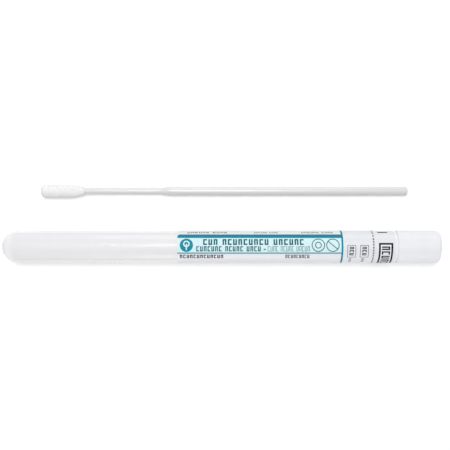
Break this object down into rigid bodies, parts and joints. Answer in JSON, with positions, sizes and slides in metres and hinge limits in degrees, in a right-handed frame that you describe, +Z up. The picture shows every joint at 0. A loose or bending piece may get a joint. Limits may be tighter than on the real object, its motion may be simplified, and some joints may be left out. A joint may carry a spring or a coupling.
{
  "type": "specimen swab tube",
  "caption": "Round-bottomed frosted plastic specimen tube with a white push-in cap, a wraparound label that seals them together, and a white flocked swab lying beside it.",
  "frame": {"origin": "centre of the bounding box in plan, on the surface that the tube and swab lie on", "axes": "+X along the tube from its closed end towards the cap, +Y from the tube towards the swab, +Z up"},
  "size_m": [0.176, 0.0318, 0.0131],
  "materials": {
    "tube_plastic": "frosted translucent polypropylene, satin",
    "cap_plastic": "smooth white polyethylene, satin",
    "label_paper": "smooth white label paper",
    "pale_cyan_ink": "pale cyan printed field",
    "teal_ink": "dark teal print",
    "black_ink": "black print",
    "grey_ink": "grey print",
    "shaft_plastic": "moulded white polystyrene, satin",
    "flock": "white nylon flock, short dense fibres"
  },
  "bodies": {
    "tube": {"tube": "tube_plastic", "label": "label_paper", "panel_tint": "pale_cyan_ink", "teal_print": "teal_ink", "black_print": "black_ink", "grey_print": "grey_ink", "swab_shaft": "shaft_plastic", "flock_tip": "flock"},
    "cap": {"cap": "cap_plastic", "seal_band": "label_paper", "seal_print": "black_ink"}
  },
  "joints": [
    {"name": "cap_pull", "type": "slide", "parent": "tube", "child": "cap", "axis": [1, 0, 0], "range_m": [0, 0.045]}
  ]
}
